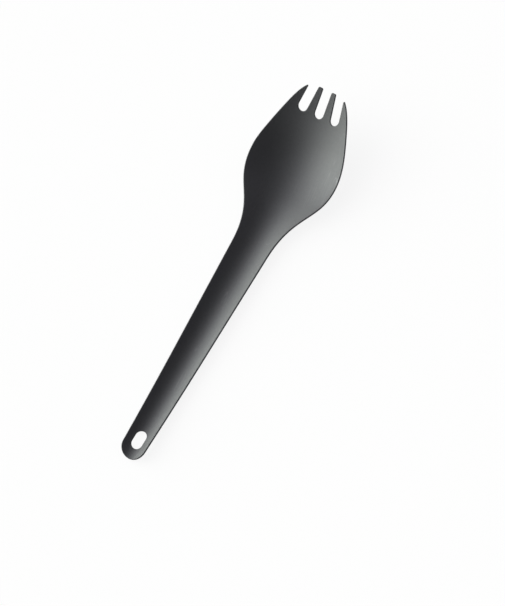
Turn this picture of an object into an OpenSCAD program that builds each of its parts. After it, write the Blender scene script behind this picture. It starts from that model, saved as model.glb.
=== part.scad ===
// A spork: one blank of sheet metal, cut to outline and pressed to shape.
// +Y runs from the round end of the handle to the tines, +Z points up out of the bowl.
// The origin is on the surface that the spork lies on, under the middle of its length.

/* [Sheet] */
// Thickness of the sheet
sheet_t = 0.8; // [0.6:0.1:1.4]
// Size of the softened corner along both faces' edges
edge_bevel = 0.2; // [0.1:0.05:0.35]

/* [Handle] */
// Length of the straight handle, from its round end to where it starts to flare
handle_l = 98.8; // [80:0.1:110]
// Width of the handle beside the centre of its round end
handle_end_w = 11.1; // [9.5:0.1:13]
// Width of the handle where it starts to flare
neck_w = 17.4; // [14:0.1:20]
// Depth of the trough across the handle where it starts to flare
neck_depth = 2.6; // [1.5:0.1:4]
// Height that the end of the handle is lifted off the table
end_lift = 1.4; // [0:0.1:2]
// Length over which the end of the handle is lifted
lift_l = 50; // [30:1:70]

/* [Hang slot] */
// Width of the slot that the spork hangs by
hang_slot_w = 5; // [4.5:0.1:6]
// Length of the slot that the spork hangs by, from end to end
hang_slot_l = 7.9; // [6.5:0.1:10]
// Metal left between the hang slot and the round end of the handle
hang_slot_edge = 4.7; // [3:0.1:7]

/* [Bowl] */
// Length of the flare, from the end of the straight handle to the bowl's widest place
flare_l = 38; // [32:0.5:45]
// Width of the bowl at its widest place
bowl_w = 42; // [36:0.1:46]
// Depth of the bowl across its widest place
bowl_depth = 5.3; // [4:0.1:8]
// How much fuller than a plain curve the bowl's section is, as a share of its depth
bowl_fullness = 0.3; // [0:0.05:0.5]
// Distance from the widest place to the shoulders, where the sides turn in
shoulder_l = 18; // [14:0.5:22]
// Width across the shoulders
shoulder_w = 33; // [29:0.1:35]
// Angle of the shoulders' sides to the centre line
shoulder_lean = 21.2; // [16:0.1:24]

/* [Tines] */
// Distance from the shoulders to the points of the outer tines
outer_tine_l = 14.4; // [13:0.1:17]
// Distance that the middle tines stand beyond the points of the outer ones
tip_step = 0.8; // [0.3:0.1:1.6]
// Angle at which the outline comes in to the points of the outer tines
tip_lean = 50; // [45:1:60]
// Depth of the trough at the tips, across the width that the bowl's straight sides would reach
tip_depth = 1.2; // [0.8:0.1:2.5]
// Width of the slots between the tines
tine_slot_w = 4.1; // [3.4:0.1:4.8]
// Depth of those slots, from the ends of the middle tines
tine_slot_l = 11.2; // [9:0.1:14]
// Distance between the round bottoms of two neighbouring slots
tine_slot_pitch = 7.8; // [7.2:0.1:9]
// Angle that each outer slot leans in towards the middle one
tine_slot_lean = 9.5; // [5:0.1:11]
// Radius that rounds the points of the outer tines
point_round = 0.35; // [0.2:0.05:0.6]
// Radius that rounds the corners of the middle tines
tine_round = 0.6; // [0.2:0.05:0.7]

/* [Ramp] */
// Distance from the end of the handle to where the floor starts to rise
ramp_start = 126; // [110:1:135]
// Radius of the bend that lifts the floor towards the tines
ramp_r = 54; // [30:1:60]
// Angle at which the tines rise
ramp_angle = 27; // [15:0.5:32]

/* [Hidden] */

$fn = 64;
// How far a cut runs past the metal
overrun = 2;

// Facets along the stretches of the outline and across the sheet
end_steps = 12;
handle_steps = 12;
flare_steps = 24;
shoulder_steps = 12;
tip_steps = 14;
across_steps = 18;
corner_steps = 6;

// Half widths, and places along the centre line, from the end of the handle
end_half = handle_end_w / 2;
neck_half = neck_w / 2;
bowl_half = bowl_w / 2;
shoulder_half = shoulder_w / 2;
bowl_y = handle_l + flare_l;
shoulder_y = bowl_y + shoulder_l;
outer_tip_y = shoulder_y + outer_tine_l;
overall_l = outer_tip_y + tip_step;
ramp_run = ramp_r * sin(ramp_angle);

// The slots between the tines: the centres of their round bottoms, and the outer slots' walls
slot_half = tine_slot_w / 2;
slot_y = overall_l - tine_slot_l + slot_half;
slot_half_across = slot_half / cos(tine_slot_lean);
function outer_slot_x(y) = tine_slot_pitch - (y - slot_y) * tan(tine_slot_lean);
outer_tip_x = outer_slot_x(outer_tip_y) + slot_half_across;

// The curves' handles, as shares of the stretch that each curve covers
neck_handle_share = 0.56;
cheek_handle_share = 0.42;
side_handle_share = 0.25;
shoulder_in_share = 0.53;
shoulder_out_share = 0.62;
tip_handle_share = 0.26;

// Depth of the trough as a share of the half width, along the spork
function straight_half(y) = shoulder_half - (y - shoulder_y) * tan(shoulder_lean);
neck_dish = neck_depth / neck_half;
bowl_dish = bowl_depth / bowl_half;
tip_dish = tip_depth / straight_half(overall_l);

// A cubic curve through a and d, with handles b and c
function curve(a, b, c, d, t) =
    pow(1 - t, 3) * a + 3 * pow(1 - t, 2) * t * b + 3 * (1 - t) * pow(t, 2) * c + pow(t, 3) * d;
// A step from 0 to 1 that starts and ends level
function ease(t) = let (s = max(0, min(1, t))) s * s * (3 - 2 * s);

// The right half of the outline, from the end of the handle to the ends of the tines
taper = atan((neck_half - end_half) / (handle_l - end_half));
end_join = end_half * [cos(taper), 1 - sin(taper)];
neck = [neck_half, handle_l];
cheek = [bowl_half, bowl_y];
shoulder = [shoulder_half, shoulder_y];
outer_tip = [outer_tip_x, outer_tip_y];
along_handle = [sin(taper), cos(taper)];
along_shoulder = [-sin(shoulder_lean), cos(shoulder_lean)];
along_tip = [-sin(tip_lean), cos(tip_lean)];

function end_arc(t) = let (a = (90 - taper) * t) end_half * [sin(a), 1 - cos(a)];
// The first section stands this share of a step past the very end, where the sheet has no width
first_share = 0.15;
function flare_curve(t) = curve(
    neck, neck + neck_handle_share * flare_l * along_handle,
    cheek - [0, cheek_handle_share * flare_l], cheek, t);
function side_curve(t) = curve(
    cheek, cheek + [0, side_handle_share * shoulder_l],
    shoulder - shoulder_in_share * shoulder_l * along_shoulder, shoulder, t);
function tip_curve(t) = curve(
    shoulder, shoulder + shoulder_out_share * outer_tine_l * along_shoulder,
    outer_tip - tip_handle_share * outer_tine_l * along_tip, outer_tip, t);

outline = concat(
    [for (i = [0 : end_steps]) end_arc(max(i, first_share) / end_steps)],
    [for (i = [1 : handle_steps]) end_join + (neck - end_join) * i / handle_steps],
    [for (i = [1 : flare_steps]) flare_curve(i / flare_steps)],
    [for (i = [1 : shoulder_steps]) side_curve(i / shoulder_steps)],
    [for (i = [1 : tip_steps]) tip_curve(i / tip_steps)],
    [[outer_slot_x(overall_l), overall_l]]);

// Half width that the trough follows: past the handle's round end and past the shoulders it
// runs on straight where the outline turns in
function trough_half(p) =
    p.y < handle_l ? end_half + (p.y - end_half) * tan(taper) :
    p.y < shoulder_y ? p.x : straight_half(p.y);
// Shares of the way from the handle to the bowl's widest place, and from there to the tips
function to_bowl(y) = ease((y - handle_l) / flare_l);
function to_tip(y) = ease((y - bowl_y) / (overall_l - bowl_y));
// Depth of the trough as a share of its half width, and how much fuller than a plain curve it is
function dish(y) = neck_dish
    + (bowl_dish - neck_dish) * to_bowl(y) + (tip_dish - bowl_dish) * to_tip(y);
function fullness(y) = bowl_fullness * (to_bowl(y) - to_tip(y));
// Height of the middle of the sheet along the centre line
function lift(y) = y < lift_l ? end_lift * pow(1 - y / lift_l, 2) : 0;
function ramp(y) =
    let (past = max(0, y - ramp_start), bent = min(past, ramp_run))
    ramp_r - sqrt(pow(ramp_r, 2) - pow(bent, 2)) + (past - bent) * tan(ramp_angle);
function floor_z(y) = sheet_t / 2 + lift(y) + ramp(y);

// Stations along the spork: half width, place, height of the floor, and what the trough adds for
// the square of the distance from the centre line and takes off for its fourth power
stations = [for (p = outline)
    let (half = trough_half(p), full = fullness(p.y))
    [p.x, p.y, floor_z(p.y), dish(p.y) * (1 + full) / half, dish(p.y) * full / pow(half, 3)]];
last = len(stations) - 1;
// How fast a station's value changes along the spork
function rate(i, value) =
    let (a = stations[max(0, i - 1)], b = stations[min(last, i + 1)])
    (b[value] - a[value]) / (b[1] - a[1]);
// The sheet's middle at a distance x from the centre line, and the way its face looks there
function middle(s, x) = [x, s[1], s[2] + s[3] * pow(x, 2) - s[4] * pow(x, 4)];
function facing(i, x) =
    let (across = 2 * stations[i][3] * x - 4 * stations[i][4] * pow(x, 3),
        along = rate(i, 2) + rate(i, 3) * pow(x, 2) - rate(i, 4) * pow(x, 4),
        n = [-across, -along, 1])
    n / norm(n);
function skin(i, x, off) = middle(stations[i], x) + off * facing(i, x);

// The sheet's section at one station: upper face, right edge, lower face, left edge
half_t = sheet_t / 2;
edge_half = half_t - edge_bevel;
function section(i) =
    let (w = stations[i][0], flat_w = max(w - edge_bevel, w / 2),
        xs = [for (k = [0 : across_steps]) flat_w * (2 * k / across_steps - 1)])
    concat(
        [for (x = xs) skin(i, x, half_t)],
        [skin(i, w, edge_half), skin(i, w, -edge_half)],
        [for (x = xs) skin(i, -x, -half_t)],
        [skin(i, -w, -edge_half), skin(i, -w, edge_half)]);
ring = 2 * across_steps + 6;
// The middle of the whole length, with the sheet's thickness at both ends
function places(i) = [for (p = section(i)) p.y];
middle_y = (min(places(0)) + max(places(last))) / 2;

// A closed solid through all sections, with a strip of faces over each end
module loft() {
    points = [for (i = [0 : last]) each section(i)];
    sides = [for (i = [0 : last - 1], k = [0 : ring - 1])
        let (a = i * ring + k, b = i * ring + (k + 1) % ring)
        each [[a, a + ring, b + ring], [a, b + ring, b]]];
    function strip(start) = [for (k = [0 : ring / 2 - 2])
        let (a = start + (k + ring - 1) % ring, b = start + k,
            c = start + ring - 2 - k, d = start + (2 * ring - 3 - k) % ring)
        each [[a, b, c], [b, d, c]]];
    polyhedron(points, concat(sides, strip(0), [for (f = strip(last * ring)) [f[2], f[1], f[0]]]));
}

// One wall of a slot. It ends at the corner of the tine beside it, at a height of corner_y over
// the centre of the slot's round bottom. It rounds that corner, whose angle and radius are
// given, and goes on out of the metal.
function slot_wall(corner_y, angle, corner_r) =
    let (start = corner_y - corner_r / tan(angle / 2), out = corner_r + overrun)
    concat(
        [[slot_half, 0]],
        [for (i = [0 : corner_steps]) let (a = 180 - (180 - angle) * i / corner_steps)
            [slot_half + corner_r + corner_r * cos(a), start + corner_r * sin(a)]],
        [[slot_half + corner_r + out * cos(angle), start + out * sin(angle)]]);

// A slot with a round bottom at the origin and a mouth along +Y
module tine_slot(left, right) {
    circle(slot_half);
    polygon(concat(right, [for (i = [len(left) - 1 : -1 : 0]) [-left[i].x, left[i].y]]));
}

module hang_slot() {
    bar = hang_slot_l - hang_slot_w;
    translate([0, hang_slot_edge + hang_slot_l / 2]) {
        square([hang_slot_w, bar], center = true);
        for (side = [-1, 1])
            translate([0, side * bar / 2]) circle(hang_slot_w / 2);
    }
}

// Cuts straight down through the sheet
module cut_through() {
    translate([0, 0, -overrun])
        linear_extrude(2 * overrun + floor_z(overall_l) + bowl_depth) children();
}

module spork() {
    reach = overall_l - slot_y;
    straight = slot_wall(reach, 90, tine_round);
    // An outer slot's walls, beside a middle tine and beside an outer one
    inner = slot_wall(reach / cos(tine_slot_lean) + slot_half * tan(tine_slot_lean),
        90 + tine_slot_lean, tine_round);
    outer = slot_wall((outer_tip_y - slot_y) / cos(tine_slot_lean)
        - slot_half * tan(tine_slot_lean), tip_lean - tine_slot_lean, point_round);
    color("#4b4b4d")
    translate([0, -middle_y, 0])
    difference() {
        loft();
        cut_through() {
            hang_slot();
            translate([0, slot_y]) tine_slot(straight, straight);
            translate([tine_slot_pitch, slot_y]) rotate(tine_slot_lean) tine_slot(inner, outer);
            translate([-tine_slot_pitch, slot_y]) rotate(-tine_slot_lean) tine_slot(outer, inner);
        }
    }
}

spork();
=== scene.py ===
# %% [markdown]
# # A spork pressed from one sheet of metal
#
# The object is a camping spork: a shallow bowl, four short tines, and a long handle with a
# slot to hang it by. One press cuts the outline and the slots from a flat sheet. A second
# press bends that blank to shape. So the whole thing is one skin, equally thick all over.
#
# This script builds it in the same order. First comes the flat outline, as curves in plan.
# Then comes one function that carries any point of the plan onto the bent sheet. All the
# metal that the render shows is the flat blank sent through that function.
#
# Lengths are in metres. +Y runs from the round end of the handle to the tines, and +Z points
# up out of the bowl.

import math

import bpy
import numpy as np
from mathutils import Matrix, Vector


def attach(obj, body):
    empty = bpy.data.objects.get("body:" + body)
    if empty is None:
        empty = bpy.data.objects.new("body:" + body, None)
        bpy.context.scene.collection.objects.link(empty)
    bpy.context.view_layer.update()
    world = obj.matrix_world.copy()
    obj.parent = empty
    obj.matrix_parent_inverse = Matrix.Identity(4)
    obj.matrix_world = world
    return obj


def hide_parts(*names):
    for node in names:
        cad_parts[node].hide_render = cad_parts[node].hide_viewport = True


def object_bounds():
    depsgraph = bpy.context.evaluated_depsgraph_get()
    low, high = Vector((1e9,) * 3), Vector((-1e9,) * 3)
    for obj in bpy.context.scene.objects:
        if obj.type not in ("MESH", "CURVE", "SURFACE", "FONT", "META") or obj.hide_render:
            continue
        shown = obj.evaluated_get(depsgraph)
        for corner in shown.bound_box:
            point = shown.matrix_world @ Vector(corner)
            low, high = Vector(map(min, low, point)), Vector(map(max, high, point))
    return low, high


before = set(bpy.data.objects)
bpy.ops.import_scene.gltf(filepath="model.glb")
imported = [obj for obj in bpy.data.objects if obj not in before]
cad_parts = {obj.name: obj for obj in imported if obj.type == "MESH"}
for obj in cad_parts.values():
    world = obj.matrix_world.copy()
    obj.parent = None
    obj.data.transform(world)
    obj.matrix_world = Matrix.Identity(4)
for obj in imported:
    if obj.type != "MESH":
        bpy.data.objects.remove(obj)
cad_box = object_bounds()
MM = 0.001
print("CAD box in mm:", [[round(v / MM, 3) for v in corner] for corner in cad_box])

# %% [markdown]
# ## Lines in plan
#
# A press tool's outline is drawn with straight lines, arcs and smooth curves between them. A
# cubic curve needs only its two ends and a handle at each end, which says in what direction
# and how firmly the curve sets off. Two curves that share a direction where they meet join
# without a kink.
#
# Every line below is kept as a dense row of points. What the mesh needs from it is picked
# out later by its share of the line's length.

# %% Helpers for lines
def cubic(a, b, c, d, steps=3000):
    """The curve from a to d with handles b and c: the four points' weights are the terms of
    (1 - t + t) cubed, with t running from 0 to 1."""
    t = np.linspace(0, 1, steps + 1)[:, None]
    a, b, c, d = (np.asarray(p, float) for p in (a, b, c, d))
    return (1 - t) ** 3 * a + 3 * (1 - t) ** 2 * t * b + 3 * (1 - t) * t**2 * c + t**3 * d


def arc(centre, radius, first, last, steps=1000):
    """Points on a circle, from one angle to another: centre + radius * (cosine, sine)."""
    turn = np.linspace(first, last, steps + 1)
    return np.asarray(centre) + radius * np.stack([np.cos(turn), np.sin(turn)], axis=1)


def straight(a, b, steps=1000):
    """Points on the straight line from a to b, evenly spaced."""
    return np.linspace(a, b, steps + 1)


def reach_along(line):
    """How far each point of a line lies from its first one, measured along the line."""
    return np.concatenate([[0.0], np.cumsum(np.linalg.norm(np.diff(line, axis=0), axis=1))])


def at_reach(line, reach):
    """The points that lie at given distances along a line."""
    along = reach_along(line)
    return np.stack([np.interp(reach, along, axis) for axis in line.T], axis=1)


def joined(*lines):
    """Lines that meet end to end, as one line with each meeting point kept once."""
    return np.concatenate([lines[0]] + [line[1:] for line in lines[1:]])


print("length of a quarter circle of radius 1:", round(
    reach_along(arc((0, 0), 1, 0, math.pi / 2))[-1], 4))

# %% [markdown]
# ## The handle
#
# The handle is a strip that widens a little from its round end to the neck. Its side leaves
# the round end where both have the same direction, so the taper's angle fixes that place.
# Near the end sits the slot that the spork hangs by: two straight sides and two half circles.

# %% The handle's side and its slot
handle_l = 98.8 * MM
handle_end_w = 11.1 * MM
neck_w = 17.4 * MM
hang_slot_w = 5 * MM
hang_slot_l = 7.9 * MM
hang_slot_edge = 4.7 * MM

end_half, neck_half = handle_end_w / 2, neck_w / 2
taper = math.atan((neck_half - end_half) / (handle_l - end_half))
along_handle = np.array([math.sin(taper), math.cos(taper)])
neck = np.array([neck_half, handle_l])
round_end = arc((0, end_half), end_half, -math.pi / 2, -taper)
handle_side = straight(round_end[-1], neck)

hang_half = hang_slot_w / 2
hang_low, hang_high = hang_slot_edge + hang_half, hang_slot_edge + hang_slot_l - hang_half
hang_side = joined(
    arc((0, hang_low), hang_half, -math.pi / 2, 0),
    straight((hang_half, hang_low), (hang_half, hang_high)),
    arc((0, hang_high), hang_half, 0, math.pi / 2))
print("taper of each side in degrees:", round(math.degrees(taper), 2))

# %% [markdown]
# ## The bowl
#
# From the neck the side flares out in one long S to the widest place, the cheek, and turns in
# from there to the shoulder. Both stretches run parallel to the centre line at the cheek. The
# length of each curve's handle is a share of the stretch that the curve covers.

# %% The bowl's side
flare_l = 38 * MM
bowl_w = 42 * MM
shoulder_l = 18 * MM
shoulder_w = 33 * MM
shoulder_lean = math.radians(21.2)
neck_handle_share, cheek_handle_share = 0.56, 0.42
side_handle_share, shoulder_in_share = 0.25, 0.53

bowl_half, shoulder_half = bowl_w / 2, shoulder_w / 2
bowl_y = handle_l + flare_l
shoulder_y = bowl_y + shoulder_l
cheek = np.array([bowl_half, bowl_y])
shoulder = np.array([shoulder_half, shoulder_y])
along_shoulder = np.array([-math.sin(shoulder_lean), math.cos(shoulder_lean)])
flare_side = cubic(
    neck, neck + neck_handle_share * flare_l * along_handle,
    cheek - [0, cheek_handle_share * flare_l], cheek)
cheek_side = cubic(
    cheek, cheek + [0, side_handle_share * shoulder_l],
    shoulder - shoulder_in_share * shoulder_l * along_shoulder, shoulder)
print("from neck to shoulder in mm:", round((shoulder_y - handle_l) / MM, 1))

# %% [markdown]
# ## The tines
#
# The tines are what three slots leave standing. Each slot has two straight walls and a half
# circle for its bottom. The outer two lean in towards the middle one, so the middle tines
# narrow a little towards their ends. The side of the bowl bends in to meet the outer slot,
# and that makes the slanting point of the outer tine.

# %% The outer tine's side
outer_tine_l = 14.4 * MM
tip_step = 0.8 * MM
tip_lean = math.radians(50)
tine_slot_w = 4.1 * MM
tine_slot_l = 11.2 * MM
tine_slot_pitch = 7.8 * MM
slot_lean = math.radians(9.5)
shoulder_out_share, tip_handle_share = 0.62, 0.26

outer_tip_y = shoulder_y + outer_tine_l
overall_l = outer_tip_y + tip_step
slot_half = tine_slot_w / 2
slot_y = overall_l - tine_slot_l + slot_half
outer_tip = np.array([
    tine_slot_pitch - (outer_tip_y - slot_y) * math.tan(slot_lean)
    + slot_half / math.cos(slot_lean), outer_tip_y])
along_tip = np.array([-math.sin(tip_lean), math.cos(tip_lean)])
tine_side = cubic(
    shoulder, shoulder + shoulder_out_share * outer_tine_l * along_shoulder,
    outer_tip - tip_handle_share * outer_tine_l * along_tip, outer_tip)
print("overall length in plan in mm:", round(overall_l / MM, 1))

# %% The slots' walls and bottoms
def slot_lines(wall_l, side):
    """One wall of a slot with the eighth of a circle that starts its bottom, from the tine's
    end down, in the slot's own plan: the bottom's centre is at zero and side is 1 or -1."""
    wall = straight((side * slot_half, wall_l), (side * slot_half, 0))
    turn = arc((0, 0), slot_half, 0, -math.pi / 4) * [side, 1]
    return joined(wall, turn)


def placed(line, lean, centre_x):
    """A line from a slot's own plan, turned by the slot's lean and moved to its bottom."""
    c, s = math.cos(lean), math.sin(lean)
    return line @ np.array([[c, s], [-s, c]]) + [centre_x, slot_y]


slot_reach = overall_l - slot_y
half_rise = slot_half * math.tan(slot_lean)
outer_wall = placed(slot_lines(
    (outer_tip_y - slot_y) / math.cos(slot_lean) - half_rise, 1), slot_lean, tine_slot_pitch)
inner_wall = placed(slot_lines(
    slot_reach / math.cos(slot_lean) + half_rise, -1), slot_lean, tine_slot_pitch)[::-1]
middle_wall = placed(slot_lines(slot_reach, 1), 0, 0)
tine_end = straight(inner_wall[-1], middle_wall[0])
quarter = math.pi / 4
outer_bottom = placed(
    arc((0, 0), slot_half, -quarter, -3 * quarter), slot_lean, tine_slot_pitch)
middle_bottom = placed(arc((0, 0), slot_half, -quarter, -2 * quarter), 0, 0)
print("middle tine's end in mm:", round(reach_along(tine_end)[-1] / MM, 2), "wide")

# %% [markdown]
# ## Rounded corners
#
# A thing that goes in the mouth has no sharp corners, so each corner of a tine is rounded.
# Both lines stop short of the corner, and a curve that sets off along each of them bridges
# the gap. That works for the square corners and for the outer tine's slanting point alike.

# %% Round the tines' corners
point_r = 0.35 * MM
tine_r = 0.6 * MM
before_steps, after_steps = 6000, 3000


def heading(line, last):
    """The direction of a line at its end if last is true, else at its start."""
    step = line[-1] - line[-2] if last else line[1] - line[0]
    return step / np.linalg.norm(step)


def rounded(before, after, radius):
    """Two lines that meet in a corner, cut short of it, and the curve that bridges the gap.
    A circle touches both at radius * tan(turn / 2) from the corner, and a cubic follows an
    arc closely with handles of 4 / 3 * tan(turn / 4) radii."""
    turn = math.acos(float(heading(before, True) @ heading(after, False)))
    short = radius * math.tan(turn / 2)
    before_l, after_l = reach_along(before)[-1], reach_along(after)[-1]
    before = at_reach(before, np.linspace(0, before_l - short, before_steps))
    after = at_reach(after, np.linspace(short, after_l, after_steps))
    out, back = heading(before, True), heading(after, False)
    gap = after[0] - before[-1]
    turn = math.acos(float(out @ back))
    handle = 4 / 3 * math.tan(turn / 4) * np.linalg.norm(gap) / (2 * math.sin(turn / 2))
    bridge = cubic(before[-1], before[-1] + handle * out, after[0] - handle * back, after[0])
    return before, bridge, after


whole_side = joined(round_end, handle_side, flare_side, cheek_side, tine_side)
whole_side, point_round, outer_wall = rounded(whole_side, outer_wall, point_r)
inner_wall, outer_round, tine_end = rounded(inner_wall, tine_end, tine_r)
tine_end, inner_round, middle_wall = rounded(tine_end, middle_wall, tine_r)
tine_end = joined(outer_round, tine_end, inner_round)
print("outer tine's point reaches y =", round(point_round[:, 1].max() / MM, 2), "mm")

# %% [markdown]
# ## From flat blank to bent sheet
#
# Cut across, the spork is a shallow trough: its height grows with the square of the distance
# from the centre line. How deep the trough is for its width changes gently from the handle
# to the bowl and again to the tines. Cut along, the bottom of the trough lies flat on the
# table, then bends up towards the tines in one wide arc. Only the end of the handle stands a
# touch off the table, enough for a fingernail.
#
# A lattice or a sculpted grid could bend the blank too. A formula is better here, because it
# knows the slope at every point, and with that the direction in which the sheet is thick.

# %% The press's sizes
sheet_t = 0.8 * MM
neck_depth = 2.6 * MM
bowl_depth = 5.3 * MM
bowl_fullness = 0.3
tip_depth = 1.2 * MM
end_lift = 1.4 * MM
lift_l = 50 * MM
ramp_start = 126 * MM
ramp_r = 54 * MM
ramp_angle = math.radians(27)
side_x, side_y = joined(round_end, handle_side, flare_side, cheek_side).T
bend_l = ramp_r * math.sin(ramp_angle)
print("the ramp's bend in mm:", round(ramp_start / MM, 1), "to",
      round((ramp_start + bend_l) / MM, 1))

# %% The trough's width and depth
def ease(t):
    """A step from 0 to 1 that starts and ends level: three squares less two cubes."""
    t = np.clip(t, 0, 1)
    return t * t * (3 - 2 * t)


def shoulder_line(y):
    """Half width between the bowl's straight sides, carried on past the outer tines."""
    return shoulder_half - (y - shoulder_y) * math.tan(shoulder_lean)


def trough_half(y):
    """Half width that the trough follows: the handle's taper, the side, the shoulder line."""
    handle = end_half + (y - end_half) * math.tan(taper)
    bowl = np.where(y < shoulder_y, np.interp(y, side_y, side_x), shoulder_line(y))
    return np.where(y < handle_l, handle, bowl)


neck_dish, bowl_dish = neck_depth / neck_half, bowl_depth / bowl_half
tip_dish = tip_depth / shoulder_line(overall_l)
print("depth as a share of the half width at neck, bowl and tips:",
      np.round([neck_dish, bowl_dish, tip_dish], 3).tolist())

# %% The sheet's height
def floor_z(y):
    """Height of the sheet's middle on the centre line: level, with a square law's lift at the
    handle's end, and past the ramp's start a circle's arc that runs out in a straight line."""
    lift = end_lift * np.clip(1 - y / lift_l, 0, None) ** 2
    past = np.clip(y - ramp_start, 0, None)
    bent = np.minimum(past, bend_l)
    ramp = ramp_r - np.sqrt(ramp_r**2 - bent**2) + (past - bent) * math.tan(ramp_angle)
    return sheet_t / 2 + lift + ramp


def middle_z(x, y):
    """Height of the sheet's middle: the floor's, plus the trough's depth times u squared, where
    u is the distance from the centre line as a share of the half width. The bowl's section is
    fuller than that: (1 + full) times u squared, less full times u to the fourth power."""
    to_bowl = ease((y - handle_l) / flare_l)
    to_tip = ease((y - bowl_y) / (overall_l - bowl_y))
    dish = neck_dish + (bowl_dish - neck_dish) * to_bowl + (tip_dish - bowl_dish) * to_tip
    full = bowl_fullness * (to_bowl - to_tip)
    half = trough_half(y)
    u = x / half
    return floor_z(y) + dish * half * ((1 + full) * u**2 - full * u**4)


print("rim's height in mm at neck, cheek and shoulder:", np.round(middle_z(
    np.array([neck_half, bowl_half, shoulder_half]),
    np.array([handle_l, bowl_y, shoulder_y])) / MM, 2).tolist())

# %% The sheet's facing, and a point of the plan on it
def facing(x, y):
    """The way the bent sheet faces: minus its slope across, minus its slope along, and 1,
    drawn out to unit length. The slopes are measured over a tenth of a millimetre."""
    probe = 0.05 * MM
    across = (middle_z(x + probe, y) - middle_z(x - probe, y)) / (2 * probe)
    along = (middle_z(x, y + probe) - middle_z(x, y - probe)) / (2 * probe)
    normal = np.stack([-across, -along, np.ones_like(across)], axis=-1)
    return normal / np.linalg.norm(normal, axis=-1, keepdims=True)


def pressed(x, y, off):
    """A point of the plan on the bent sheet, then moved by off in the way it faces there."""
    return np.stack([x, y, middle_z(x, y)], axis=-1) + off[..., None] * facing(x, y)


cheek_lean = math.acos(facing(*cheek[:, None])[0, 2])
print("lean of the sheet at the cheek in degrees:", round(math.degrees(cheek_lean), 1))

# %% [markdown]
# ## Stations along the contour
#
# The right half of the contour runs from the middle of the round end up the side, round each
# tine and down to the bottom of the middle slot. The hang slot has a line of its own. Each
# stretch gets a row of stations, as many as the patch of skin beside it has cells, so that
# skin and edge meet point for point.
#
# A station knows its place in plan and the way into the metal there. That way is square to
# the contour's run over the bent sheet and to the sheet's facing, so an edge that is worked
# out from it is square to the sheet however much the sheet leans.

# %% Spacings of stations
crowding = 1.5


def evenly(share):
    """Stations at equal distances."""
    return share


def closer_first(share):
    """Stations that crowd towards the start of a stretch: the share, raised to a power."""
    return share**crowding


def closer_last(share):
    """Stations that crowd towards the end of a stretch."""
    return 1 - (1 - share) ** crowding


print("where the middle station lands:", evenly(0.5), round(closer_first(0.5), 3),
      round(closer_last(0.5), 3))

# %% Stations along a contour
same_place = 1e-6 * MM


class Contour:
    """Stations along stretches that meet end to end. A stretch is a name, a line, a number of
    cells and a spacing. The metal lies to the left of the line if metal is 1, and to the
    right of it if metal is -1."""

    def __init__(self, metal, *stretches):
        line = joined(*[stretch[1] for stretch in stretches])
        reach, start, self.rows, count = [np.zeros(1)], 0.0, {}, 0
        for name, path, cells, spacing in stretches:
            length = reach_along(path)[-1]
            reach.append(start + length * spacing(np.linspace(0, 1, cells + 1)[1:]))
            self.rows[name] = slice(count, count + cells + 1)
            start, count = start + length, count + cells
        reach, probe = np.concatenate(reach), 0.01 * MM
        self.plan = at_reach(line, reach)
        ends = at_reach(line, np.concatenate([np.minimum(reach + probe, start),
                                              np.maximum(reach - probe, 0)]))
        ahead, behind = np.split(pressed(*ends.T, np.zeros(len(ends))), 2)
        run = (ahead - behind) / np.linalg.norm(ahead - behind, axis=1, keepdims=True)
        self.into = metal * np.cross(facing(*self.plan.T), run)
        centre = np.abs(self.plan[:, 0]) < same_place
        self.plan[centre, 0] = 0
        self.into[centre, 0] = 0

    def moved(self, depth):
        """The places in plan that lie depth into the metal, measured over the bent sheet."""
        return self.plan + depth * self.into[:, :2]

    def inner(self, name):
        """Where the skin begins beside one stretch."""
        return self.moved(skin_inset)[self.rows[name]]


# %% [markdown]
# ## How many cells
#
# Cells on the bowl's rim are about 0.6 mm long, because a rim made of straight pieces would
# show there first. They crowd together towards the points of the tines.

# %% The blank's two contours
skin_inset = 0.38 * MM
cap_cells, end_cells, body_cells, branch_cells, wall_cells = 43, 26, 230, 5, 44
point_cells, bottom_cells, tine_cells, half_bottom_cells, ring_cells = 12, 12, 18, 6, 9
column_cells = half_bottom_cells + tine_cells + bottom_cells + point_cells
body_y, under_slots = 20 * MM, 1.5 * MM
branch_y = overall_l - tine_slot_l - under_slots
stretch_points = 12000


def between(line, first, last):
    """The stretch of a line between two distances along it."""
    return at_reach(line, np.linspace(first, last, stretch_points))


side_reach = reach_along(whole_side)
corner_at = reach_along(round_end)[-1] / 2
body_at, branch_at = np.interp([body_y, branch_y], whole_side[:, 1], side_reach)
blank = Contour(
    1,
    ("end_cap", between(whole_side, 0, corner_at), cap_cells, evenly),
    ("end_side", between(whole_side, corner_at, body_at), end_cells, evenly),
    ("body", between(whole_side, body_at, branch_at), body_cells, evenly),
    ("outer_side", between(whole_side, branch_at, side_reach[-1]),
     branch_cells + wall_cells, closer_last),
    ("point", point_round, point_cells, evenly),
    ("outer_wall", outer_wall, wall_cells, closer_first),
    ("outer_bottom", outer_bottom, bottom_cells, evenly),
    ("inner_wall", inner_wall, wall_cells, closer_last),
    ("tine_end", tine_end, tine_cells, evenly),
    ("middle_wall", middle_wall, wall_cells, closer_first),
    ("middle_bottom", middle_bottom, half_bottom_cells, evenly))
eighth = hang_half * quarter
hang_l = reach_along(hang_side)[-1]
hang_slot = Contour(
    -1,
    ("cap", between(hang_side, 0, eighth), cap_cells, evenly),
    ("side", between(hang_side, eighth, hang_l - eighth), end_cells, evenly),
    ("top", between(hang_side, hang_l - eighth, hang_l), column_cells, evenly))
print("stations on the right half:", len(blank.plan) + len(hang_slot.plan),
      "cells on the rim in mm:", round((branch_at - body_at) / body_cells / MM, 2))

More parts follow.
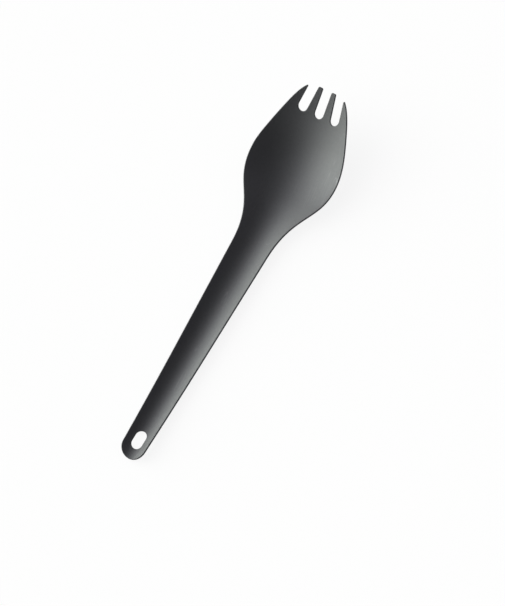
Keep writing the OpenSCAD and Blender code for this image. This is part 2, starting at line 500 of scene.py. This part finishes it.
# %% [markdown]
# ## The skin's patches
#
# A patch is a grid stretched between four lines, as a sail is between its bolt ropes: each
# point blends the two lines across it and the two lines along it. The handle's body is
# simpler still, because each of its rows runs straight across from the centre line.
#
# The patches fan out like this: a ring of three round the hang slot, one for the handle and
# the bowl, and then one each for an outer tine, the metal under its slot, a middle tine, and
# the metal under half of the middle slot.

# %% A grid between four lines
def patch(bottom, top, left, right):
    """A grid between four lines: bottom and top blended by height, plus left and right blended
    by width, less the blend of the four corners, which both of those hold."""
    u = np.linspace(0, 1, len(bottom))[None, :, None]
    v = np.linspace(0, 1, len(left))[:, None, None]
    corners = ((1 - v) * ((1 - u) * bottom[0] + u * bottom[-1])
               + v * ((1 - u) * top[0] + u * top[-1]))
    grid = ((1 - v) * bottom + v * top + (1 - u) * left[:, None] + u * right[:, None]
            - corners)
    grid[0], grid[-1], grid[:, 0], grid[:, -1] = bottom, top, left, right
    return grid


def up(first, last, wall):
    """A patch's side: straight from first to last, then on along a wall."""
    return joined(np.linspace(first, last, branch_cells + 1), wall)


# %% The patch of the handle and the bowl
under_middle = blank.inner("middle_bottom")[::-1]
under_outer = blank.inner("outer_bottom")[::-1]
edge = blank.inner("body")
branch_xs = joined(
    np.linspace(0, under_middle[-1, 0], half_bottom_cells + 1),
    np.linspace(under_middle[-1, 0], under_outer[0, 0], tine_cells + 1),
    np.linspace(under_outer[0, 0], under_outer[-1, 0], bottom_cells + 1),
    np.linspace(under_outer[-1, 0], edge[-1, 0], point_cells + 1))
columns = branch_xs / branch_xs[-1]
body = np.stack([
    edge[:, :1] * columns,
    np.broadcast_to(edge[:, 1:], (len(edge), len(columns)))], axis=-1)
print("points along and across:", body.shape[:2])

# %% The ring round the hang slot
low, high = hang_slot.inner("cap"), hang_slot.inner("top")
cap, end_edge = blank.inner("end_cap"), blank.inner("end_side")
low_spoke = np.linspace(cap[-1], low[-1], ring_cells + 1)
high_spoke = np.linspace(end_edge[-1], high[0], ring_cells + 1)
ring = [
    patch(cap, low, np.linspace(cap[0], low[0], ring_cells + 1), low_spoke),
    patch(end_edge, hang_slot.inner("side"), low_spoke, high_spoke),
    patch(body[0, ::-1], high, high_spoke, np.linspace(body[0, 0], high[-1], ring_cells + 1))]
print("cells of the ring's patches:", [(len(g) - 1) * (len(g[0]) - 1) for g in ring])

# %% The tines' patches
row = np.stack([branch_xs, np.full_like(branch_xs, edge[-1, 1])], axis=-1)
first, second, third = np.cumsum([half_bottom_cells, tine_cells, bottom_cells])
beside_middle = up(row[first], under_middle[-1], blank.inner("middle_wall")[::-1])
beside_inner = up(row[second], under_outer[0], blank.inner("inner_wall"))
beside_outer = up(row[third], under_outer[-1], blank.inner("outer_wall")[::-1])
stub = branch_cells + 1
fan = [
    patch(row[:first + 1], under_middle,
          np.linspace(row[0], under_middle[0], stub), beside_middle[:stub]),
    patch(row[first:second + 1], blank.inner("tine_end")[::-1], beside_middle, beside_inner),
    patch(row[second:third + 1], under_outer, beside_inner[:stub], beside_outer[:stub]),
    patch(row[third:], blank.inner("point")[::-1], beside_outer, blank.inner("outer_side"))]
body[-1] = row
skins = ring + [body] + fan
print("cells on a quarter of the skin:", sum((len(g) - 1) * (len(g[0]) - 1) for g in skins))

# %% [markdown]
# ## The edge
#
# A blanked edge is tumbled before pressing, which leaves both its corners round. Its profile
# is a quarter circle from the upper face to the wall, the wall, and a quarter circle to the
# lower face. Carried along the contour, it gives one strip that closes the gap between the
# two skins. Each point of the strip also keeps how far round the edge it lies, for the
# finish to use.

# %% Carry the edge's profile along the contours
edge_r = 0.27 * MM
corner_cells = 5
turn = np.linspace(0, math.pi / 2, corner_cells + 1)
turn = np.concatenate([[0], turn, turn + math.pi / 2, [math.pi]])
flat = sheet_t / 2 - edge_r
profile_depth = edge_r * (1 - np.sin(turn))
profile_depth[[0, -1]] = skin_inset
which_half = np.where(np.arange(len(turn)) < len(turn) // 2, 1, -1)
profile_off = edge_r * np.cos(turn) + which_half * flat


def edge_strip(contour):
    """Places (x, y, off), facings and edge shares on a strip: into the metal by the profile's
    depth, off the sheet's middle by its off, facing turned from the sheet's facing to straight
    out of the metal and on to the sheet's back."""
    plan = contour.plan[:, None] + profile_depth[:, None] * contour.into[:, None, :2]
    off = np.broadcast_to(profile_off, plan.shape[:2])
    across = facing(plan[..., 0], plan[..., 1])
    look = (np.cos(turn)[:, None] * across - np.sin(turn)[:, None] * contour.into[:, None])
    share = np.broadcast_to(np.sin(turn), plan.shape[:2])
    return np.dstack([plan, off]), look, share


def skin_face(plan, side):
    """Places, facings and edge shares of a patch on the upper face, or the lower if side is -1:
    half the sheet's thickness off its middle, all facing as the sheet does, or its back."""
    off = np.full(plan.shape[:2], side * sheet_t / 2)
    return np.dstack([plan, off]), side * facing(plan[..., 0], plan[..., 1]), np.zeros_like(off)


grids = [skin_face(plan, side) for plan in skins for side in (1, -1)]
grids += [edge_strip(blank), edge_strip(hang_slot)]
print("grids on the right half:", len(grids))

# %% [markdown]
# ## One closed mesh
#
# The left half is the right half with x turned round. Points that two grids share have the
# same x, y and off, so rounding those to a millionth of a millimetre and keeping each triple
# once welds everything. A face that came out wound the wrong way is told by its cross
# product, which then points against the facings of its corners.

# %% Weld the grids and press them
def cells_of(count, shape):
    """The corners of every cell of a grid whose first point has the number count."""
    index = count + np.arange(shape[0] * shape[1]).reshape(shape)
    corners = (index[:-1, :-1], index[1:, :-1], index[1:, 1:], index[:-1, 1:])
    return np.stack(corners, axis=-1).reshape(-1, 4)


places, looks, shares, quads, count = [], [], [], [], 0
for place, look, share in grids:
    for side in (1, -1):
        places.append((place * [side, 1, 1]).reshape(-1, 3))
        looks.append((look * [side, 1, 1]).reshape(-1, 3))
        shares.append(share.reshape(-1))
        quads.append(cells_of(count, share.shape))
        count += share.size
places, looks, shares = np.concatenate(places), np.concatenate(looks), np.concatenate(shares)
keys = np.round(places / same_place).astype(np.int64)
_, kept, number = np.unique(keys, axis=0, return_index=True, return_inverse=True)
quads = number.reshape(-1)[np.concatenate(quads)]
places, looks, shares = places[kept], looks[kept], shares[kept]
points = pressed(*places.T)
# The tines' lower corner, were it sharp, would touch the far side of the CAD box.
points[:, 1] += cad_box[1].y - overall_l - sheet_t / 2 * math.sin(ramp_angle)
looks /= np.linalg.norm(looks, axis=1, keepdims=True)
corner = points[quads]
wound = np.cross(corner[:, 2] - corner[:, 0], corner[:, 3] - corner[:, 1])
wrong = (wound * looks[quads].sum(axis=1)).sum(axis=1) < 0
quads[wrong] = quads[wrong, ::-1]
print("points", len(points), "quads", len(quads), "smallest in mm2",
      round(np.linalg.norm(wound, axis=1).min() / 2 / MM**2, 5))

# %% Make the mesh
mesh = bpy.data.meshes.new("pressed_sheet")
mesh.from_pydata(points, [], quads)
mesh.shade_smooth()
mesh.normals_split_custom_set_from_vertices(looks)
worn = mesh.attributes.new("edge", "FLOAT", "POINT")
worn.data.foreach_set("value", shares)
spork = bpy.data.objects.new("pressed_sheet", mesh)
bpy.context.scene.collection.objects.link(spork)
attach(spork, "root")
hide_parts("spork")
sides = np.stack([quads, np.roll(quads, -1, axis=1)], axis=-1).reshape(-1, 2)
times_used = np.unique(np.sort(sides, axis=1), axis=0, return_counts=True)[1]
print("closed:", bool((times_used == 2).all()), "edges", len(times_used))

# %% [markdown]
# ## Shader maths
#
# A finish is a small sum: so much noise here, a mask there. Nodes can do that sum, and a
# script can write the nodes. The class below wraps a socket. Adding, subtracting, multiplying
# or dividing wrapped sockets makes the Math node for it and wraps the result.

# %% A socket that can be calculated with
class Wire:
    """A value socket of a node tree that can stand in a sum, a product or a quotient."""

    def __init__(self, tree, socket):
        self.tree, self.socket = tree, socket

    def node(self, kind, settings=None, **inputs):
        """Makes a node of the kind, gives it its settings first and then its inputs, by their
        names with _ for a space or by their place after an i, and wraps its first output."""
        made = self.tree.nodes.new(kind)
        for name, value in (settings or {}).items():
            setattr(made, name, value)
        for name, value in inputs.items():
            key = int(name[1:]) if name[1:].isdigit() else name.replace("_", " ")
            if isinstance(value, Wire):
                self.tree.links.new(value.socket, made.inputs[key])
            else:
                made.inputs[key].default_value = value
        return Wire(self.tree, made.outputs[0]) if made.outputs else None

    def out(self, name):
        """Another output of this socket's node."""
        return Wire(self.tree, self.socket.node.outputs[name])

    def maths(self, operation, *values):
        """A Math node with the operation, and with the values on its inputs in order."""
        inputs = {f"i{place}": value for place, value in enumerate(values)}
        return self.node("ShaderNodeMath", {"operation": operation}, **inputs)

    def __add__(self, other):
        return self.maths("ADD", self, other)

    def __mul__(self, other):
        return self.maths("MULTIPLY", self, other)

    def __sub__(self, other):
        return self.maths("SUBTRACT", self, other)

    def __rsub__(self, other):
        return self.maths("SUBTRACT", other, self)

    def __truediv__(self, other):
        return self.maths("DIVIDE", self, other)

    __radd__, __rmul__ = __add__, __mul__


def fresh_tree(owner):
    """An empty node tree on a material or a world, and a wire to start from."""
    owner.use_nodes = True
    owner.node_tree.nodes.clear()
    return Wire(owner.node_tree, None)


# %% [markdown]
# ## The finish
#
# The metal is bead blasted and then dyed dark grey. The blasting leaves a skin of tiny dents,
# which spread a reflection wide, so the finish is a metal with a dark, nearly neutral base and
# a middling roughness. Everything else is slight, as it is on a new spork. Over centimetres,
# shade and roughness drift a little, and the dye is mottled at about a millimetre. The dents
# are a bump a few microns deep. A few hairlines run along the spork, where it was slid in and
# out of a pack, and the round corners of the edge are rubbed a little lighter here and there.

# %% Hairlines
cell_z = 5 * MM
kept_x, kept_y, kept_above, kept_rise = 6 * MM, 14 * MM, 0.56, 8


def hairlines(where, turn, cell_x, cell_y, half_w):
    """Scratches that run about along Y, turned by an angle. A smooth noise in cells of the given
    size is cut at its middle value, which leaves thin winding lines, and a second noise keeps
    only stretches of them. 1 in the middle of a scratch, 0 from about its half width on."""
    def noise(x, y):
        cells = where.node("ShaderNodeMapping", {"vector_type": "TEXTURE"}, Vector=where,
                           Rotation=(0, 0, turn), Scale=(x, y, cell_z))
        return where.node("ShaderNodeTexNoise", Vector=cells, Scale=1.0, Detail=0.0)

    off_line = where.maths("ABSOLUTE", noise(cell_x, cell_y) - 0.5) / (half_w / cell_x)
    line = where.node("ShaderNodeClamp", Value=1 - off_line)
    kept = where.node(
        "ShaderNodeClamp", Value=kept_rise * (noise(kept_x, kept_y) - kept_above))
    return line * kept


print("scratches are kept in patches of", round(kept_x / MM), "by", round(kept_y / MM), "mm")

# %% Bead-blasted dark metal
metal_colour, metal_rough = (0.0746, 0.0757, 0.0793), 0.53
dent_depth = 0.004 * MM


def anodised_metal():
    """The finish. Patterns read the position on the object, so they keep their real size. Shade
    and roughness are sums of the patterns, each times how much it shows."""
    material = bpy.data.materials.new("anodised_grey")
    where = fresh_tree(material).node("ShaderNodeTexCoord").out("Object")

    def noise(cells_in_a_metre, detail):
        return where.node(
            "ShaderNodeTexNoise", Vector=where, Scale=cells_in_a_metre, Detail=detail)

    drift, mottle, dents, patches = noise(70, 3), noise(1100, 2), noise(4200, 1), noise(350, 2)
    scratch = (
        hairlines(where, turn=math.radians(4), cell_x=2.2 * MM, cell_y=50 * MM,
                  half_w=0.03 * MM)
        + 0.7 * hairlines(where, turn=math.radians(-9), cell_x=3.1 * MM, cell_y=40 * MM,
                          half_w=0.025 * MM))
    edge = where.node("ShaderNodeAttribute", {"attribute_name": "edge"}).out("Fac")
    # Edge is 0 on the faces and 1 on the wall, so this is greatest on the corners between.
    rubbed = 4 * edge * (1 - edge) * where.node("ShaderNodeClamp", Value=6 * (patches - 0.5))
    shade = 0.85 + 0.12 * drift + 0.16 * mottle + 0.16 * scratch + 0.3 * rubbed
    colour = where.node(
        "ShaderNodeVectorMath", {"operation": "SCALE"}, i0=metal_colour, Scale=shade)
    rough = metal_rough - 0.03 + 0.06 * drift - 0.05 * edge - 0.08 * scratch
    bump = where.node("ShaderNodeBump", Strength=0.5, Distance=dent_depth,
                      Height=dents - 0.2 * scratch)
    shader = where.node(
        "ShaderNodeBsdfPrincipled", Base_Color=colour, Metallic=1.0, Roughness=rough,
        Normal=bump)
    where.node("ShaderNodeOutputMaterial", Surface=shader)
    return material


spork.data.materials.append(anodised_metal())
print("finish:", spork.data.materials[0].name)

# %% [markdown]
# ## The floor and the light
#
# The spork lies on a pale floor. Seen by the camera, or in a reflection, the floor is mostly
# plain white and about an eighth itself, which keeps the background clean without more light
# on the metal, and still lets the object's shadow through, faintly.
#
# The light is soft and comes from low down on the spork's left: a wide, faintly violet glow
# and a narrower, stronger and faintly green one that rises from the horizon. A dim violet one
# stands past the tines on the right. That is what draws the trough: the wall that faces the
# light shines, and the other one stays dark. The camera sees plain white in place of the
# glows. A reflection sees the glows themselves, because a metal has nothing else to show.

# %% Floor
floor_r, floor_corners = 3.0, 96
paper_grey, white_share = 0.95, 0.88
around = np.linspace(0, 2 * math.pi, floor_corners + 1)[:-1]
circle = floor_r * np.stack([np.cos(around), np.sin(around), 0 * around], axis=1)
floor_mesh = bpy.data.meshes.new("floor")
floor_mesh.from_pydata(circle, [], [list(range(floor_corners))])
floor = bpy.data.objects.new("floor", floor_mesh)
bpy.context.scene.collection.objects.link(floor)


def seen(wire):
    """1 for rays from the camera and for those that a glossy or clear surface sends on."""
    path = wire.node("ShaderNodeLightPath")
    glossy = path.out("Is Glossy Ray").maths(
        "MAXIMUM", path.out("Is Glossy Ray"), path.out("Is Transmission Ray"))
    return glossy.maths("MAXIMUM", path.out("Is Camera Ray"), glossy)


def floor_paper():
    """A matt pale floor, mixed with plain white where it is seen."""
    material = bpy.data.materials.new("floor_paper")
    wire = fresh_tree(material)
    matt = wire.node("ShaderNodeBsdfDiffuse", Color=(paper_grey, paper_grey, paper_grey, 1))
    white = wire.node("ShaderNodeEmission", Color=(1, 1, 1, 1), Strength=1.0)
    mixed = wire.node("ShaderNodeMixShader", i0=white_share * seen(wire), i1=matt, i2=white)
    wire.node("ShaderNodeOutputMaterial", Surface=mixed)
    return material


floor.data.materials.append(floor_paper())
print("floor's width in m:", 2 * floor_r)

# %% The surroundings
def studio(lobes):
    """The surroundings: the sum, over the lobes, of a colour times a strength times
    exp(tightness * (cosine of the angle to the lobe's direction - 1)). A lobe is its colour,
    strength, azimuth, elevation and tightness, with both angles in degrees."""
    world = bpy.data.worlds.new("studio")
    bpy.context.scene.world = world
    wire = fresh_tree(world)
    towards = wire.node("ShaderNodeTexCoord").out("Generated")
    light = (0.0, 0.0, 0.0)
    for colour, strength, azimuth, elevation, tightness in lobes:
        a, e = math.radians(azimuth), math.radians(elevation)
        centre = (math.cos(a) * math.cos(e), math.sin(a) * math.cos(e), math.sin(e))
        cosine = towards.node(
            "ShaderNodeVectorMath", {"operation": "DOT_PRODUCT"}, i0=towards, i1=centre
        ).out("Value")
        glow = strength * towards.maths("EXPONENT", tightness * (cosine - 1))
        light = towards.node(
            "ShaderNodeVectorMath", {"operation": "MULTIPLY_ADD"}, i0=colour, i1=glow, i2=light)
    camera = towards.node("ShaderNodeLightPath").out("Is Camera Ray")
    shown = towards.node(
        "ShaderNodeVectorMath", {"operation": "MULTIPLY_ADD"}, i0=light, i1=1 - camera, i2=camera)
    back = towards.node("ShaderNodeBackground", Color=shown, Strength=1.0)
    towards.node("ShaderNodeOutputWorld", Surface=back)
    return world


faint_violet, faint_green = (0.99, 0.965, 1.04), (1.01, 1.075, 0.92)
wide_glow = (faint_violet, 3, 185, 20, 4)
horizon_glow = (faint_green, 10.5, 195, 0, 8)
far_glow = (faint_violet, 1.38, 45, 20, 8)
world = studio([wide_glow, horizon_glow, far_glow])
print("nodes in the world:", len(world.node_tree.nodes))

# %% [markdown]
# ## The camera
#
# The photograph looks down on the spork from high up, a little from its right and from the
# handle's side, and the handle's end is at the lower left of the picture. The camera stands
# a metre away and aims at a point beside the handle, so that the spork lies where it does in
# the photograph.

# %% Camera
camera_away = 1.0
camera_right = math.radians(22)
camera_back = math.radians(7.43)
picture_turn = math.radians(59.732)
picture_h, focal_pixels, sensor_mm = 606, 2461.1, 36
aim = Vector((13.976, -5.592, 5)) * MM

towards = Vector((math.tan(camera_right), -math.tan(camera_back), 1)).normalized()
up_object = (Vector((0, 1, 0)) - towards.y * towards).normalized()
right_object = up_object.cross(towards)
c, s = math.cos(picture_turn), math.sin(picture_turn)
right = s * right_object + c * up_object
upwards = -c * right_object + s * up_object
camera_data = bpy.data.cameras.new("camera")
camera_data.sensor_height = camera_data.sensor_width = sensor_mm
camera_data.lens = sensor_mm * focal_pixels / picture_h
camera = bpy.data.objects.new("camera", camera_data)
turned = Matrix((right, upwards, towards)).transposed().to_4x4()
camera.matrix_world = Matrix.Translation(aim + camera_away * towards) @ turned
bpy.context.scene.collection.objects.link(camera)
bpy.context.scene.camera = camera
print("lens in mm:", round(camera_data.lens, 1))

# %% Colour
bpy.context.scene.view_settings.view_transform = "Standard"
